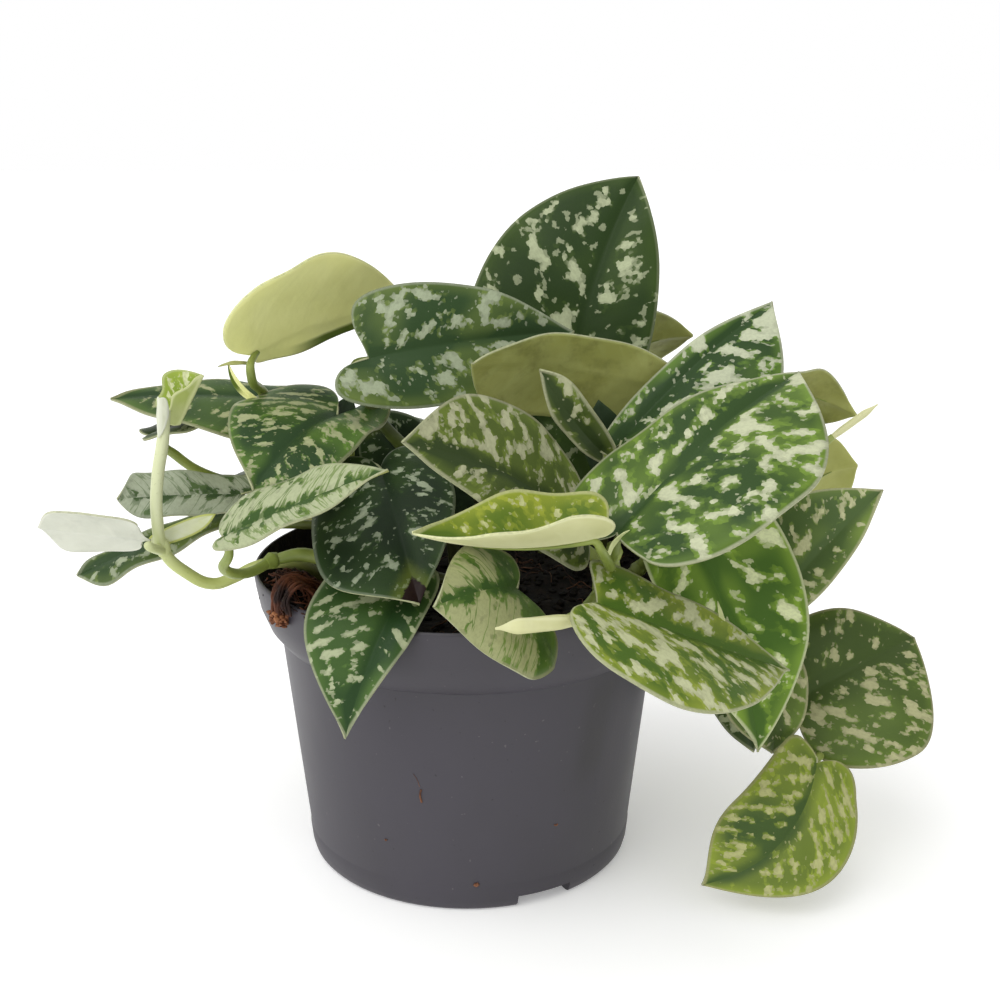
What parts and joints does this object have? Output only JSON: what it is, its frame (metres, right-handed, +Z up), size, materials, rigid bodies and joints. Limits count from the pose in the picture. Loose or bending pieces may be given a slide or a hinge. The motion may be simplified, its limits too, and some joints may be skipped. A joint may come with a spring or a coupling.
{
  "type": "satin pothos plant in its nursery pot",
  "caption": "Trailing satin pothos with silver-splashed heart-shaped leaves on green stems, standing in a plain dark grey nursery pot with a flared collar.",
  "frame": {"origin": "centre of the pot's underside, on the surface it stands on", "axes": "+Z up; the front of the plant faces -Y; +X is the right-hand side seen from the front"},
  "size_m": [0.2386, 0.1801, 0.1892],
  "materials": {
    "pot_plastic": "satin",
    "root_ball": "matte",
    "root_fibre": "matte",
    "stem_green": "satin",
    "leaf_green": "satin",
    "young_leaf": "satin"
  },
  "bodies": {
    "root": {"pot": "pot_plastic", "soil": "root_ball", "roots": "root_fibre", "vine_left_shoot": "stem_green", "vine_left_low": "stem_green", "vine_back_left": "stem_green", "vine_centre": "stem_green", "vine_back": "stem_green", "vine_right": "stem_green", "vine_right_trail": "stem_green", "vine_front_right": "stem_green", "vine_front": "stem_green", "vine_back_far": "stem_green", "leaf_crown": "leaf_green", "leaf_upper_left": "leaf_green", "leaf_olive_back": "leaf_green", "leaf_pale_back": "leaf_green", "leaf_olive_peek": "leaf_green", "leaf_upper_right": "leaf_green", "leaf_front_big": "leaf_green", "leaf_right_back": "leaf_green", "leaf_right_lime": "young_leaf", "leaf_right_point": "leaf_green", "leaf_hang_lime": "young_leaf", "leaf_front_heart": "leaf_green", "leaf_right_round": "leaf_green", "leaf_low_dark": "leaf_green", "leaf_low_dark_2": "leaf_green", "leaf_lowest": "leaf_green", "leaf_centre": "leaf_green", "leaf_curled": "young_leaf", "leaf_centre_dark": "leaf_green", "leaf_over_rim": "leaf_green", "leaf_silver_heart": "leaf_green", "leaf_left_heart": "leaf_green", "leaf_silver_level": "leaf_green", "leaf_left_long": "leaf_green", "leaf_left_shadow": "leaf_green", "leaf_shoot_young": "young_leaf", "leaf_left_pale": "young_leaf", "leaf_left_low": "leaf_green", "leaf_left_grey": "leaf_green", "leaf_narrow_folded": "leaf_green", "leaf_gap_dark": "leaf_green", "leaf_gap_dark_2": "leaf_green", "leaf_back_1": "leaf_green", "leaf_back_2": "leaf_green", "leaf_back_3": "leaf_green", "leaf_back_4": "leaf_green", "leaf_back_5": "leaf_green", "leaf_back_6": "leaf_green", "leaf_back_7": "leaf_green", "leaf_back_8": "leaf_green", "roll_front": "young_leaf", "roll_right": "young_leaf"}
  },
  "joints": []
}
